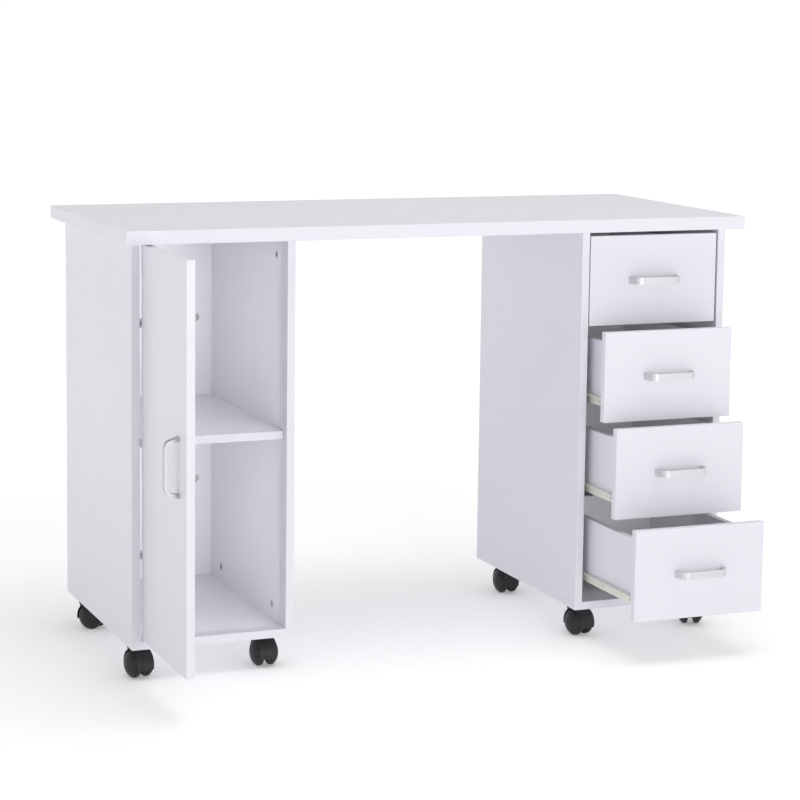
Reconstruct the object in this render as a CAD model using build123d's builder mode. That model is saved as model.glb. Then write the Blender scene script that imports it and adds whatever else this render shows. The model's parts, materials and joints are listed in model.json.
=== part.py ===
"""Sewing table: a long worktop on a door cabinet and a drawer cabinet, both on castors.

Millimetres, +X to the right, +Y to the back, +Z up, floor at Z = 0. X = 0 is the middle of the
worktop, and Y = 0 is halfway between the free edge of the open door and the worktop's back edge.
The door stands open at a right angle and three of the four drawers are pulled out.
"""
import os
from math import cos, radians, sin

from build123d import *

# Driving sizes
top_length = 1200
top_depth = 538
top_thickness = 24
board = 15
side_height = 704
cabinet_width = 300
cabinet_depth = 460
side_overhang = 19
front_overhang = 39
caster_height = 58
edge_round = 0.7

# Door
door_width = 266
door_edge_gap = 2
door_side_gap = 4
door_floor_gap = 2
door_top_gap = 3
door_handle_inset = 46.5
hinge_heights = (223, 634)

# Drawers: how far each stands open, top to bottom
pulled = (0, 69, 123, 208)
front_width = 264
front_height = 168
front_gap = 3.5
front_setback = 2
box_depth = 400
box_height = 120
box_wall = 12
box_rise = 27.2
slide_gap = 12.5
bottom_sheet = 3
groove_depth = 5
groove_rise = 8

# Handles
screw_spacing = 96
handle_length = 104
handle_bar = 87
handle_reach = 25
handle_taper = 3
foot_length = 7
strap_width = 13
strap_thickness = 4
handle_bend = 15
inner_bend = 11
handle_edge = 1
handle_screw_radius = 2
handle_head_radius = 4
handle_head = 2.4
handle_grip = 4

# Castors
wheel_radius = 25
wheel_inner = 6.5
tread_outer = 15.5
wheel_outer = 25.5
wheel_flat = 4
trail = 20
hood_inner = 26.2
hood_outer = 28
hood_half_width = 16.5
web_half = 5.5
axle_radius = 3
running_gap = 0.05
plate_size = 32
plate_thickness = 2
plate_corner = 4
pin_length = 17.5
neck_radius = 9
neck_sink = 5
neck_gap = 0.3
hub_radius = 8
hood_front_angle = 18
hood_back_angle = 15
wheel_edge = 1.5

# Places that follow from them
door_reach = door_width - door_edge_gap
top_back = (top_depth - front_overhang + door_reach) / 2
top_front = top_back - top_depth
front_y = top_front + front_overhang
back_y = front_y + cabinet_depth
middle_y = (front_y + back_y) / 2
foot_z = caster_height + board
top_z = foot_z + side_height
cabinet_x = top_length / 2 - side_overhang - cabinet_width / 2
half_inside = cabinet_width / 2 - board
left_wall = -cabinet_x - half_inside
right_wall = -cabinet_x + half_inside

os.makedirs("parts", exist_ok=True)


def write(piece, label):
    """Label a finished piece and write its file."""
    piece.part.label = label
    export_step(piece.part, f"parts/{label}.step")


def span(low, high):
    """The middle and the length of a stretch."""
    return (low + high) / 2, high - low


def slab(x, y, z, mode=Mode.ADD):
    """A box between three pairs of limits, for use inside a part."""
    places, sizes = zip(span(*x), span(*y), span(*z))
    with Locations(places):
        Box(*sizes, mode=mode)


def pegs(places, radius, length, turn=(0, 0, 0), mode=Mode.ADD):
    """Round pegs, or holes, centred on the places given."""
    with Locations(places):
        Cylinder(radius, length, rotation=turn, mode=mode)


ALONG_X = (0, 90, 0)
ALONG_Y = (90, 0, 0)

# Joints between the boards: cam discs let into the boards, with a bolt and dowels across each seam
cam_radius = 7.5
cam_depth = 12
cam_bolt_radius = 3
cam_bolt_reach = 11
hole_overrun = 3
dowel_radius = 4
dowel_length = 30
cam_rows_low = (middle_y - 152, middle_y + 152)
cam_rows_high = (middle_y - 168, middle_y + 168)
dowel_rows = (middle_y - 120, middle_y + 120)
cam_top_z = top_z - 34
cam_bottom_z = foot_z + 28
back_cam_heights = (266, 583)
back_cam_inset = 33
walls = [(side * cabinet_x, turn) for side in (-1, 1) for turn in (-1, 1)]


def wall_face(centre, turn):
    """The X of a side board's inner face; turn is -1 for the left board and 1 for the right."""
    return centre + turn * half_inside


def cam_places(centre, turn):
    """Cam discs in one side board."""
    x = wall_face(centre, turn) + turn * cam_depth / 2
    low = [(x, y, cam_bottom_z) for y in cam_rows_low]
    return low + [(x, y, cam_top_z) for y in cam_rows_high]


def back_cam_places(centre):
    """Cam discs in one back board."""
    y = back_y - board + cam_depth / 2
    xs = [centre + turn * (half_inside - back_cam_inset) for turn in (-1, 1)]
    return [(x, y, z) for x in xs for z in back_cam_heights]


def seam_bolts(centre, turn, seam, rise, extra=0):
    """Bolts from a level seam to the cams above it (rise 1) or below it (rise -1)."""
    x = wall_face(centre, turn) + turn * board / 2
    far = (cam_bottom_z - foot_z if rise > 0 else top_z - cam_top_z) - cam_radius + extra
    z = seam + rise * (far - cam_bolt_reach) / 2
    rows = cam_rows_low if rise > 0 else cam_rows_high
    return [(x, y, z) for y in rows], far + cam_bolt_reach


def back_bolts(centre, turn, extra=0):
    """Bolts from a side board's inner face into the cams of the back board."""
    face = wall_face(centre, turn)
    far = back_cam_inset - cam_radius + extra
    x = face + turn * (cam_bolt_reach - far) / 2
    return [(x, back_y - board / 2, z) for z in back_cam_heights], far + cam_bolt_reach


def all_seams():
    """Every level seam: cabinet centre, side of it, height, and where its cams lie."""
    return [(c, t, seam, rise) for c, t in walls for seam, rise in ((foot_z, 1), (top_z, -1))]


def dowel_places(centre, turn, seam):
    """Dowels across a level seam."""
    x = wall_face(centre, turn) + turn * board / 2
    return [(x, y, seam) for y in dowel_rows]


def drill_seams(seams):
    """Bolt and dowel holes at the seams given, cut from the board being made."""
    for centre, turn, seam, rise in seams:
        places, length = seam_bolts(centre, turn, seam, rise, hole_overrun)
        pegs(places, cam_bolt_radius, length, mode=Mode.SUBTRACT)
        pegs(dowel_places(centre, turn, seam), dowel_radius, dowel_length, mode=Mode.SUBTRACT)


with BuildPart() as tabletop:
    slab((-top_length / 2, top_length / 2), (top_front, top_back), (top_z, top_z + top_thickness))
    fillet(tabletop.edges(), edge_round)
    drill_seams([seam for seam in all_seams() if seam[2] == top_z])
write(tabletop, "tabletop")

# Castor places: distance in from the side and from the front or back of the cabinet, and the
# direction of the axle in degrees from +X
caster_insets = {
    "left_front_outer": (-1, -1, -1, 18, 56, 13),
    "left_front_inner": (-1, 1, -1, 45, 56, 2),
    "left_rear_outer": (-1, -1, 1, 20, 55, 42),
    "left_rear_inner": (-1, 1, 1, 45, 55, 10),
    "right_front_inner": (1, -1, -1, 25, 60, 13),
    "right_front_outer": (1, 1, -1, 22, 62, -20),
    "right_rear_inner": (1, -1, 1, 33, 52, 3),
    "right_rear_outer": (1, 1, 1, 22, 55, -12),
}
plate_screw_offset = plate_size / 2 - 4.5
screw_radius = 1.8
screw_head_radius = 3.2
screw_head = 1.1
screw_grip = 12


def caster_place(name):
    """The swivel axis of a castor and its heading."""
    cabinet, turn, end, inset_x, inset_y, heading = caster_insets[name]
    x = cabinet * cabinet_x + turn * (cabinet_width / 2 - inset_x)
    y = (front_y if end < 0 else back_y) - end * inset_y
    return x, y, heading


def plate_screws(name):
    """The four screw centres of a castor's plate."""
    x, y, _ = caster_place(name)
    corners = [(i * plate_screw_offset, j * plate_screw_offset) for i in (-1, 1) for j in (-1, 1)]
    return [(x + dx, y + dy) for dx, dy in corners]


def caster_screw_holes(names):
    """Pilot holes for the castor screws, cut up into a bottom board."""
    for name in names:
        places = [(x, y, caster_height + screw_grip / 2) for x, y in plate_screws(name)]
        pegs(places, screw_radius, screw_grip, mode=Mode.SUBTRACT)


# Slides: a channel on the cabinet wall and an L rail under the drawer side, with a roller on each
rail_sheet = 1.2
rail_height = 17
rail_drop = 6
channel_height = 26
channel_reach = 9.5
channel_lip = 2
lip_reach = 9
roller_radius = 6.5
roller_width = 5
roller_gap = 0.3
roller_shaft = 2.5
roller_inset = 8
rail_start = front_y + front_setback + board + 2
rail_length = 400
rail_screw_rows = [rail_start + run for run in (37, 165, 357)]
front_top = top_z - (side_height - 4 * front_height - 3 * front_gap) / 2
half_box = half_inside - slide_gap


def front_bottom(number):
    """The height of the lower edge of a drawer front; drawer 1 is the top one."""
    return front_top - number * front_height - (number - 1) * front_gap


def box_floor(number):
    """The height of the lower edge of a drawer's side boards."""
    return front_bottom(number) + box_rise


def rail_screw_places(turn):
    """Screws that hold the cabinet's channels to one wall."""
    middle = channel_height / 2 - rail_drop
    levels = [box_floor(number) + middle for number in range(1, 5)]
    x = wall_face(cabinet_x, turn)
    return [(x, y, z) for y in rail_screw_rows for z in levels]


def rail_screw_shift(places, turn, shift):
    """The same places, moved into the cabinet by a distance."""
    return [(x - turn * shift, y, z) for x, y, z in places]


# Hinges: a plate and arm on the wall, and a cup in the door
cup_radius = 17.5
cup_depth = 11.5
cup_edge = 22.5
cup_wall = 1.2
cup_base = 1.5
cup_screw_offset = 25
cup_screw_radius = 2.8
cup_screw_head = 0.8
flange = 1.2
flange_size = (24, 62)
flange_corner = 10
hinge_plate = 2
hinge_plate_lead = 6
arm_length = 62
arm_height = 16
arm_thickness = 10
arm_corner = 5
wing_height = 42
wing_length = 14
wing_lead = 29
adjuster_radius = 3.2
adjuster_depth = 2.5
arm_start = front_y + board + 2.5
adjuster_rows = [arm_start + 13, arm_start + 36]
plate_screw_rows = [arm_start + 20, arm_start + 52]
hinge_head_radius = screw_head_radius - 0.1


def side_board(label, centre, turn, extra=None):
    """One upright side board, drilled for its cams, bolts, dowels and fittings."""
    face = wall_face(centre, turn)
    low, high = sorted((face, face + turn * board))
    with BuildPart() as panel:
        slab((low, high), (front_y, back_y), (foot_z, top_z))
        fillet(panel.edges().filter_by(Axis.Z), edge_round)
        pegs(cam_places(centre, turn), cam_radius, cam_depth, ALONG_X, Mode.SUBTRACT)
        drill_seams([seam for seam in all_seams() if seam[:2] == (centre, turn)])
        places, length = back_bolts(centre, turn, hole_overrun)
        pegs(places, cam_bolt_radius, length, ALONG_X, Mode.SUBTRACT)
        if extra:
            extra()
    write(panel, label)


# Shelf and its pins
shelf_top = 431.5
shelf_setback = 16
shelf_gap = 0.5
pin_radius = 2.5
pin_depth = 10
pin_reach = 8
pin_rows = (front_y + 70, back_y - 65)


def pin_places(turn):
    """Shelf pins in one wall of the door cabinet."""
    x = wall_face(-cabinet_x, turn) + turn * (pin_depth - pin_reach) / 2
    return [(x, y, shelf_top - board - pin_radius) for y in pin_rows]


def drill_pins(turn):
    """Shelf pin holes in one wall."""
    pegs(pin_places(turn), pin_radius, pin_depth + pin_reach, ALONG_X, Mode.SUBTRACT)


def hinge_screw_places():
    """Screws through the hinge plates into the left wall."""
    x = left_wall - screw_grip / 2 + hinge_plate
    return [(x, y, z) for y in plate_screw_rows for z in hinge_heights]


def drill_left_wall():
    """Holes for the shelf pins and the hinge plates."""
    drill_pins(-1)
    pegs(hinge_screw_places(), screw_radius, screw_grip, ALONG_X, Mode.SUBTRACT)


def drill_rails(turn):
    """Pilot holes for the channel screws in one wall of the drawer cabinet."""
    shift = rail_sheet - screw_grip / 2
    places = rail_screw_shift(rail_screw_places(turn), turn, shift)
    pegs(places, screw_radius, screw_grip, ALONG_X, Mode.SUBTRACT)


side_board("left_outer_side", -cabinet_x, -1, drill_left_wall)
side_board("left_inner_side", -cabinet_x, 1, lambda: drill_pins(1))
side_board("right_inner_side", cabinet_x, -1, lambda: drill_rails(-1))
side_board("right_outer_side", cabinet_x, 1, lambda: drill_rails(1))

for side, centre in (("left", -cabinet_x), ("right", cabinet_x)):
    with BuildPart() as bottom:
        half = cabinet_width / 2
        slab((centre - half, centre + half), (front_y, back_y), (caster_height, foot_z))
        fillet(bottom.edges(), edge_round)
        drill_seams([seam for seam in all_seams() if seam[0] == centre and seam[2] == foot_z])
        caster_screw_holes([name for name in caster_insets if name.startswith(side)])
    write(bottom, f"{side}_bottom")

    with BuildPart() as back:
        inside = (centre - half_inside, centre + half_inside)
        slab(inside, (back_y - board, back_y), (foot_z, top_z))
        pegs(back_cam_places(centre), cam_radius, cam_depth, ALONG_Y, Mode.SUBTRACT)
        for turn in (-1, 1):
            places, length = back_bolts(centre, turn, hole_overrun)
            pegs(places, cam_bolt_radius, length, ALONG_X, Mode.SUBTRACT)
    write(back, f"{side}_back")

with BuildPart() as shelf:
    slab(
        (left_wall + shelf_gap, right_wall - shelf_gap),
        (front_y + shelf_setback, back_y - board - shelf_gap),
        (shelf_top - board, shelf_top),
    )
    fillet(shelf.edges().filter_by(Axis.X), edge_round)
write(shelf, "left_shelf")

with BuildPart() as shelf_pins:
    for turn in (-1, 1):
        pegs(pin_places(turn), pin_radius, pin_depth + pin_reach, ALONG_X)
write(shelf_pins, "shelf_pins")

with BuildPart() as cam_locks:
    slot_width = 1.6
    slot_length = 9
    slot_depth = 2
    for centre, turn in walls:
        pegs(cam_places(centre, turn), cam_radius, cam_depth, ALONG_X)
        mouths = [(wall_face(centre, turn), y, z) for _, y, z in cam_places(centre, turn)]
        with Locations(mouths):
            Box(2 * slot_depth, slot_length, slot_width, mode=Mode.SUBTRACT)
            Box(2 * slot_depth, slot_width, slot_length, mode=Mode.SUBTRACT)
    for centre in (-cabinet_x, cabinet_x):
        pegs(back_cam_places(centre), cam_radius, cam_depth, ALONG_Y)
        with Locations([(x, back_y - board, z) for x, _, z in back_cam_places(centre)]):
            Box(slot_length, 2 * slot_depth, slot_width, mode=Mode.SUBTRACT)
            Box(slot_width, 2 * slot_depth, slot_length, mode=Mode.SUBTRACT)
write(cam_locks, "cam_locks")

with BuildPart() as cam_bolts:
    for seam in all_seams():
        places, length = seam_bolts(*seam)
        pegs(places, cam_bolt_radius, length)
    for centre, turn in walls:
        places, length = back_bolts(centre, turn)
        pegs(places, cam_bolt_radius, length, ALONG_X)
write(cam_bolts, "cam_bolts")

with BuildPart() as dowels:
    for centre, turn, seam, _ in all_seams():
        pegs(dowel_places(centre, turn, seam), dowel_radius, dowel_length)
write(dowels, "dowels")

with BuildPart() as hinge_arms:
    for z in hinge_heights:
        slab(
            (left_wall, left_wall + hinge_plate),
            (arm_start + hinge_plate_lead, arm_start + arm_length),
            (z - arm_height / 2, z + arm_height / 2),
        )
        slab(
            (left_wall, left_wall + hinge_plate),
            (arm_start + wing_lead, arm_start + wing_lead + wing_length),
            (z - wing_height / 2, z + wing_height / 2),
        )
        arm_plane = Plane((left_wall + hinge_plate, arm_start, z), x_dir=(0, 1, 0), z_dir=(1, 0, 0))
        with BuildSketch(arm_plane):
            with Locations((arm_length / 2, 0)):
                RectangleRounded(arm_length, arm_height, arm_corner)
        extrude(amount=arm_thickness - hinge_plate)
        outer_face = left_wall + arm_thickness
        adjusters = [(outer_face, y, z) for y in adjuster_rows]
        pegs(adjusters, adjuster_radius, 2 * adjuster_depth, ALONG_X, Mode.SUBTRACT)
    pegs(hinge_screw_places(), screw_radius, screw_grip, ALONG_X, Mode.SUBTRACT)
    heads = [(left_wall + arm_thickness, y, z) for _, y, z in hinge_screw_places()]
    pegs(heads, screw_head_radius, 2 * (arm_thickness - hinge_plate), ALONG_X, Mode.SUBTRACT)
write(hinge_arms, "hinge_arms")

with BuildPart() as cabinet_rails:
    for turn in (-1, 1):
        face = wall_face(cabinet_x, turn)
        for number in range(1, 5):
            low = box_floor(number) - rail_drop
            section = Plane((face, rail_start, low), x_dir=(-turn, 0, 0), z_dir=(0, turn, 0))
            with BuildSketch(section) as channel:
                with BuildLine():
                    Polyline(
                        (0, 0),
                        (channel_reach, 0),
                        (channel_reach, rail_sheet),
                        (rail_sheet, rail_sheet),
                        (rail_sheet, channel_height - rail_sheet),
                        (channel_reach - rail_sheet, channel_height - rail_sheet),
                        (channel_reach - rail_sheet, channel_height - rail_sheet - channel_lip),
                        (channel_reach, channel_height - rail_sheet - channel_lip),
                        (channel_reach, channel_height),
                        (0, channel_height),
                        close=True,
                    )
                make_face()
            extrude(amount=turn * rail_length)
        shift = rail_sheet / 2
        places = rail_screw_shift(rail_screw_places(turn), turn, shift)
        pegs(places, screw_radius, 2 * rail_sheet, ALONG_X, Mode.SUBTRACT)
write(cabinet_rails, "cabinet_rails")

with BuildPart() as rail_rollers:
    stub = rail_sheet + 0.8
    for turn in (-1, 1):
        face = wall_face(cabinet_x, turn)
        lip_under = rail_height - 2 * rail_sheet
        roller_z = [box_floor(n) + lip_under - roller_gap - roller_radius for n in range(1, 5)]
        y = rail_start + roller_inset
        shaft = face - turn * (rail_sheet + (stub - rail_sheet) / 2)
        pegs([(shaft, y, z) for z in roller_z], roller_shaft, stub - rail_sheet, ALONG_X)
        wheel = face - turn * (stub + roller_width / 2)
        pegs([(wheel, y, z) for z in roller_z], roller_radius, roller_width, ALONG_X)
write(rail_rollers, "rail_rollers")

with BuildPart() as caster_plates:
    for name in caster_insets:
        x, y, _ = caster_place(name)
        with BuildSketch(Plane((x, y, caster_height - plate_thickness))):
            RectangleRounded(plate_size, plate_size, plate_corner)
            with Locations([(px - x, py - y) for px, py in plate_screws(name)]):
                Circle(screw_radius, mode=Mode.SUBTRACT)
        extrude(amount=plate_thickness)
        pin_z = caster_height - plate_thickness - pin_length / 2
        pegs([(x, y, pin_z)], axle_radius, pin_length)
write(caster_plates, "caster_plates")

with BuildPart() as screws:
    for name in caster_insets:
        shank = caster_height - plate_thickness + (screw_grip + plate_thickness) / 2
        pegs([(x, y, shank) for x, y in plate_screws(name)], screw_radius, screw_grip + plate_thickness)
        under = caster_height - plate_thickness - screw_head / 2
        pegs([(x, y, under) for x, y in plate_screws(name)], screw_head_radius, screw_head)
    for turn in (-1, 1):
        places = rail_screw_places(turn)
        pegs(rail_screw_shift(places, turn, rail_sheet - screw_grip / 2), screw_radius, screw_grip, ALONG_X)
        heads = rail_screw_shift(places, turn, rail_sheet + screw_head / 2)
        pegs(heads, screw_head_radius, screw_head, ALONG_X)
    pegs(hinge_screw_places(), screw_radius, screw_grip, ALONG_X)
    hinge_heads = [(left_wall + hinge_plate + screw_head / 2, y, z) for _, y, z in hinge_screw_places()]
    pegs(hinge_heads, hinge_head_radius, screw_head, ALONG_X)
write(screws, "screws")


def handle(label, plane, thickness):
    """A strap handle: x runs along it, y stands out, and its screws come through the board."""
    foot = handle_length / 2
    corner = handle_bar / 2
    underside = handle_reach - strap_thickness
    with BuildPart() as bow:
        with BuildSketch(plane) as outline:
            with BuildLine():
                Polyline(
                    (-foot, 0),
                    (-corner, handle_reach),
                    (corner, handle_reach),
                    (foot, 0),
                    (foot - foot_length, 0),
                    (corner - handle_taper, underside),
                    (handle_taper - corner, underside),
                    (foot_length - foot, 0),
                    close=True,
                )
            make_face()
            fillet(outline.vertices().filter_by(lambda v: v.Y > underside + 1), handle_bend)
            fillet(outline.vertices().filter_by(lambda v: abs(v.Y - underside) < 0.1), inner_bend)
        extrude(amount=strap_width / 2, both=True)
        middle = plane.origin.dot(plane.z_dir)
        rims = bow.edges().filter_by(
            lambda e: abs(e.center().dot(plane.z_dir) - middle) > strap_width / 2 - 0.01
        )
        fillet(rims, handle_edge)
        for side in (-1, 1):
            centre = plane.origin + plane.x_dir * (side * screw_spacing / 2)
            start = centre - plane.y_dir * (thickness + handle_head)
            screw_plane = Plane(start, x_dir=plane.x_dir, z_dir=plane.y_dir)
            with BuildSketch(screw_plane):
                Circle(handle_head_radius)
            extrude(amount=handle_head)
            with BuildSketch(screw_plane.offset(handle_head)):
                Circle(handle_screw_radius)
            extrude(amount=thickness + handle_grip)
    write(bow, label)


def handle_holes(plane, turn):
    """Clearance holes for a handle's screws, cut from the board being made."""
    places = [tuple(plane.origin + plane.x_dir * (side * screw_spacing / 2)) for side in (-1, 1)]
    pegs(places, handle_screw_radius + 0.1, 2 * board + 2, turn, Mode.SUBTRACT)


# The open door: its outer face looks left and its inner face right
door_face = left_wall + door_side_gap
door_inner = door_face + board
door_hinge_y = front_y + door_edge_gap
door_low = foot_z + door_floor_gap
door_high = top_z - door_top_gap
door_handle_plane = Plane(
    (door_face, door_hinge_y - door_width + door_handle_inset, (door_low + door_high) / 2),
    x_dir=(0, 0, 1),
    z_dir=(0, -1, 0),
)

with BuildPart() as door_panel:
    slab((door_face, door_inner), (door_hinge_y - door_width, door_hinge_y), (door_low, door_high))
    fillet(door_panel.edges(), edge_round)
    cups = [(door_inner - cup_depth / 2, door_hinge_y - cup_edge, z) for z in hinge_heights]
    pegs(cups, cup_radius, cup_depth, ALONG_X, Mode.SUBTRACT)
    handle_holes(door_handle_plane, ALONG_X)
write(door_panel, "door_panel")
handle("door_handle", door_handle_plane, board)

with BuildPart() as hinge_cups:
    pegs(cups, cup_radius, cup_depth, ALONG_X)
    for z in hinge_heights:
        flange_plane = Plane((door_inner, door_hinge_y - cup_edge, z), x_dir=(0, 1, 0), z_dir=(1, 0, 0))
        with BuildSketch(flange_plane):
            RectangleRounded(*flange_size, flange_corner)
            Circle(cup_radius)
        extrude(amount=flange)
    wells = [(x + cup_base, y, z) for x, y, z in cups]
    pegs(wells, cup_radius - cup_wall, cup_depth, ALONG_X, Mode.SUBTRACT)
    rises = [z + side * cup_screw_offset for z in hinge_heights for side in (-1, 1)]
    cup_screws = [(door_inner + flange, door_hinge_y - cup_edge, z) for z in rises]
    pegs(cup_screws, cup_screw_radius, 2 * cup_screw_head, ALONG_X)
write(hinge_cups, "hinge_cups")

# Drawers
inner_half_box = half_box - box_wall
for number, pull in enumerate(pulled, start=1):
    face = front_y + front_setback - pull
    behind = face + board
    low = front_bottom(number)
    floor = box_floor(number)
    sheet_low = floor + groove_rise
    sheet_x = (cabinet_x - inner_half_box - groove_depth, cabinet_x + inner_half_box + groove_depth)
    sheet_y = (behind - groove_depth, behind + box_depth)
    groove_z = (sheet_low, sheet_low + bottom_sheet)
    handle_plane = Plane((cabinet_x, face, low + front_height / 2), x_dir=(1, 0, 0), z_dir=(0, 0, -1))

    with BuildPart() as front:
        half = front_width / 2
        slab((cabinet_x - half, cabinet_x + half), (face, behind), (low, low + front_height))
        fillet(front.edges(), edge_round)
        slab(sheet_x, (behind - groove_depth, behind), groove_z, Mode.SUBTRACT)
        handle_holes(handle_plane, ALONG_Y)
    write(front, f"drawer_{number}_front")

    with BuildPart() as box:
        for turn in (-1, 1):
            wall = sorted((cabinet_x + turn * half_box, cabinet_x + turn * inner_half_box))
            slab(wall, (behind, behind + box_depth), (floor, floor + box_height))
        slab(sheet_x, (behind, behind + box_depth), groove_z, Mode.SUBTRACT)
        slab(
            (cabinet_x - inner_half_box, cabinet_x + inner_half_box),
            (behind + box_depth - box_wall, behind + box_depth),
            (sheet_low + bottom_sheet, floor + box_height),
        )
    write(box, f"drawer_{number}_box")

    with BuildPart() as sheet:
        slab(sheet_x, sheet_y, groove_z)
    write(sheet, f"drawer_{number}_bottom")

    with BuildPart() as runners:
        boss = 2
        for turn in (-1, 1):
            side_x = cabinet_x + turn * half_box
            section = Plane((side_x, behind, floor - rail_sheet), x_dir=(turn, 0, 0), z_dir=(0, -turn, 0))
            with BuildSketch(section):
                with BuildLine():
                    Polyline(
                        (0, rail_sheet),
                        (-box_wall, rail_sheet),
                        (-box_wall, 0),
                        (rail_sheet, 0),
                        (rail_sheet, rail_height - rail_sheet),
                        (lip_reach, rail_height - rail_sheet),
                        (lip_reach, rail_height),
                        (0, rail_height),
                        close=True,
                    )
                make_face()
            extrude(amount=-turn * box_depth)
            roller_x = side_x + turn * (rail_sheet + boss + roller_width / 2)
            roller_y = behind + box_depth - roller_inset
            roller_z = floor - rail_drop + rail_sheet + roller_gap + roller_radius
            pegs([(roller_x, roller_y, roller_z)], roller_radius, roller_width, ALONG_X)
            boss_x = side_x + turn * (rail_sheet + boss / 2)
            pegs([(boss_x, roller_y, roller_z)], roller_shaft, boss, ALONG_X)
    write(runners, f"drawer_{number}_runners")

    handle(f"drawer_{number}_handle", handle_plane, board)

# Castors: a hood that swivels under its plate, and a pair of wheels on one axle
for name in caster_insets:
    x, y, heading = caster_place(name)
    axle = Vector(cos(radians(heading)), sin(radians(heading)), 0)
    ahead = Vector(sin(radians(heading)), -cos(radians(heading)), 0)
    centre = Vector(x, y, wheel_radius) + ahead * trail
    neck_top = caster_height - plate_thickness - neck_gap

    with BuildPart() as hood:
        neck_low = wheel_radius + neck_sink
        pegs([(x, y, (neck_low + neck_top) / 2)], neck_radius, neck_top - neck_low)
        well_length = 20
        for side in (-1, 1):
            well = centre + axle * (side * (web_half + well_length / 2))
            pegs([Plane(well, z_dir=axle)], hood_inner, well_length, mode=Mode.SUBTRACT)
        start = radians(-hood_front_angle)
        radial = ahead * cos(start) + Vector(0, 0, 1) * sin(start)
        with BuildSketch(Plane(centre, x_dir=axle, z_dir=axle.cross(radial))):
            with Locations((0, (hood_inner + hood_outer) / 2)):
                Rectangle(2 * hood_half_width, hood_outer - hood_inner)
            with Locations((0, hood_inner / 2)):
                Rectangle(2 * web_half, hood_inner)
        revolve(axis=Axis(centre, axle * -1), revolution_arc=180 + hood_front_angle + hood_back_angle)
        hub = Plane(centre, z_dir=axle)
        pegs([hub], hub_radius, 2 * web_half)
        pegs([hub], axle_radius + running_gap, 4 * web_half, mode=Mode.SUBTRACT)
        bore = pin_length + 0.5
        bore_z = neck_top + neck_gap - bore / 2
        pegs([(x, y, bore_z)], axle_radius + running_gap, bore, mode=Mode.SUBTRACT)
    write(hood, f"{name}_hood")

    with BuildPart() as wheels:
        with BuildSketch(Plane(centre, x_dir=axle, z_dir=axle.cross(Vector(0, 0, 1)))):
            with BuildLine():
                dome_start = (tread_outer - wheel_edge, wheel_radius)
                dome_end = (wheel_outer, wheel_flat)
                Polyline(
                    (0, 0),
                    (0, axle_radius),
                    (wheel_inner, axle_radius),
                    (wheel_inner, wheel_radius - wheel_edge),
                    (wheel_inner + wheel_edge, wheel_radius),
                    dome_start,
                )
                ThreePointArc(dome_start, (0.87 * wheel_outer, 0.64 * wheel_radius), dome_end)
                Polyline(dome_end, (wheel_outer, 0), (0, 0))
            make_face()
            mirror(about=Plane.YZ)
        revolve(axis=Axis(centre, axle))
    write(wheels, f"{name}_wheels")
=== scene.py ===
"""The sewing table's looks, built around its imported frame.

Metres, +X to the right, +Y to the back, +Z up, floor at Z = 0.
"""
import json
import math

import bmesh
import bpy
from mathutils import Matrix, Vector


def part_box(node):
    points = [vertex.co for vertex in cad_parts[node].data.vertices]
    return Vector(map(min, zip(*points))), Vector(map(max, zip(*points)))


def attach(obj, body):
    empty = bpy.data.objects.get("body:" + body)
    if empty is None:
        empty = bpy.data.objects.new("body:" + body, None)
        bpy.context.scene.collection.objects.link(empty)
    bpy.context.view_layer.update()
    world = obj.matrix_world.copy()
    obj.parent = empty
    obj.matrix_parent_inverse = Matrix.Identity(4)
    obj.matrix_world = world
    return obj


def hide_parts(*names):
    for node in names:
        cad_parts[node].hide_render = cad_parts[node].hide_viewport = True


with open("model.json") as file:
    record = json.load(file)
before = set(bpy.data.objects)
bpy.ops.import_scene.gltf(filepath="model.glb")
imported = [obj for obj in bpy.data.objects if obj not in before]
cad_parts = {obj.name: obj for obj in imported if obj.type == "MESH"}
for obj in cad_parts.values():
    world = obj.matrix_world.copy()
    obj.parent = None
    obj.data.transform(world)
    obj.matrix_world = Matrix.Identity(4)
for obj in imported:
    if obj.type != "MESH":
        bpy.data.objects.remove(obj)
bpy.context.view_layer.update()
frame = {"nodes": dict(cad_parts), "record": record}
nodes = frame["nodes"]
bodies = frame["record"]["behaviour"]["bodies"]
joints = {joint["name"]: joint for joint in frame["record"]["behaviour"]["joints"]}
body_of = {node: body for body, members in bodies.items() for node in members}
MM = 0.001
UP = Vector((0, 0, 1))
DRAWERS = range(1, 5)
bottom_low, bottom_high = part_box("right_bottom")
cabinet_middle = (bottom_low.x + bottom_high.x) / 2


# ---------------------------------------------------------------- materials

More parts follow.
